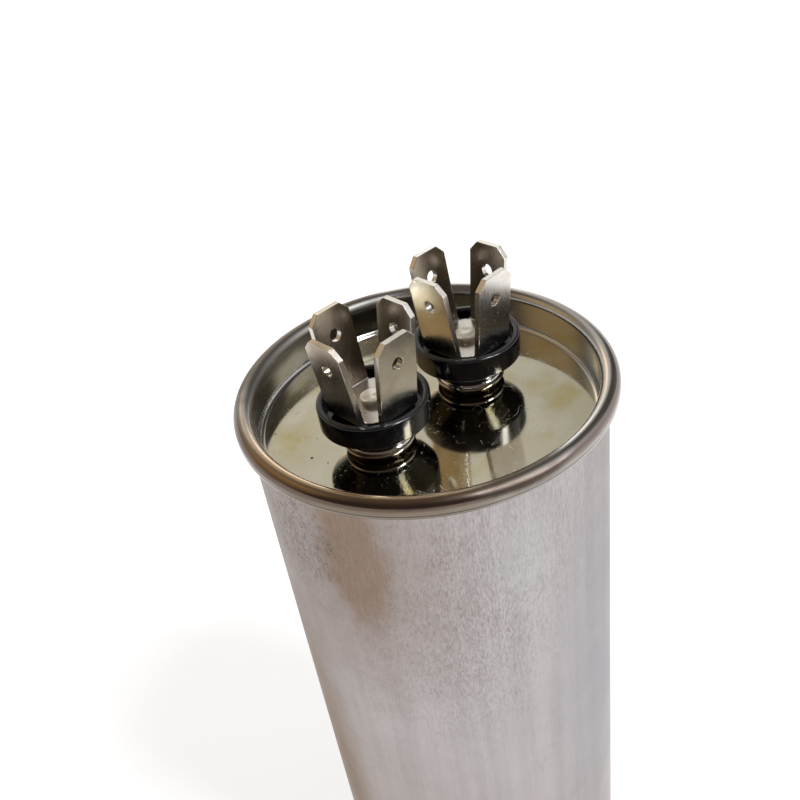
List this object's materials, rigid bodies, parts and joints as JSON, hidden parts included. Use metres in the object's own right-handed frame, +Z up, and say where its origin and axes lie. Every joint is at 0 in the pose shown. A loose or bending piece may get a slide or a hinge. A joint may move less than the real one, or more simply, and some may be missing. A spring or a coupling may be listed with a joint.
{
  "type": "motor run capacitor",
  "caption": "Round aluminium can with a rolled seam and sunken lid; insulated terminals carry folded push-on blades. Helps a single-phase motor start and run.",
  "frame": {"origin": "middle of the can's flat underside", "axes": "+Z up the can's axis to the terminals, X through both terminals, left terminal at -X"},
  "size_m": [0.053, 0.053, 0.123],
  "materials": {
    "can": "satin drawn aluminium with fine lengthwise streaks and small scratches",
    "lid": "bright tinplate with a light warm tint",
    "insulator": "glossy black moulded plastic",
    "terminal": "nickel plated sheet, satin to bright",
    "rivet": "plated and hammered",
    "gasket": "smooth black rubber",
    "washer": "brown laminate",
    "lug": "tinned brass",
    "lead": "tinned copper strip",
    "film": "metallised film, wound tight",
    "core": "plain moulded tube",
    "spray": "rough sprayed zinc",
    "liner": "plain milky plastic"
  },
  "bodies": {
    "root": {"can": "can", "lid": "lid", "insulator_left": "insulator", "insulator_right": "insulator", "terminal_left": "terminal", "terminal_right": "terminal", "rivet_left": "rivet", "rivet_right": "rivet", "gasket_left": "gasket", "gasket_right": "gasket", "washer_left": "washer", "washer_right": "washer", "lug_left": "lug", "lug_right": "lug", "lead_left": "lead", "lead_right": "lead", "winding": "film", "core": "core", "end_spray_top": "spray", "end_spray_bottom": "spray", "liner_cup": "liner", "cover_disc": "liner"}
  },
  "joints": []
}
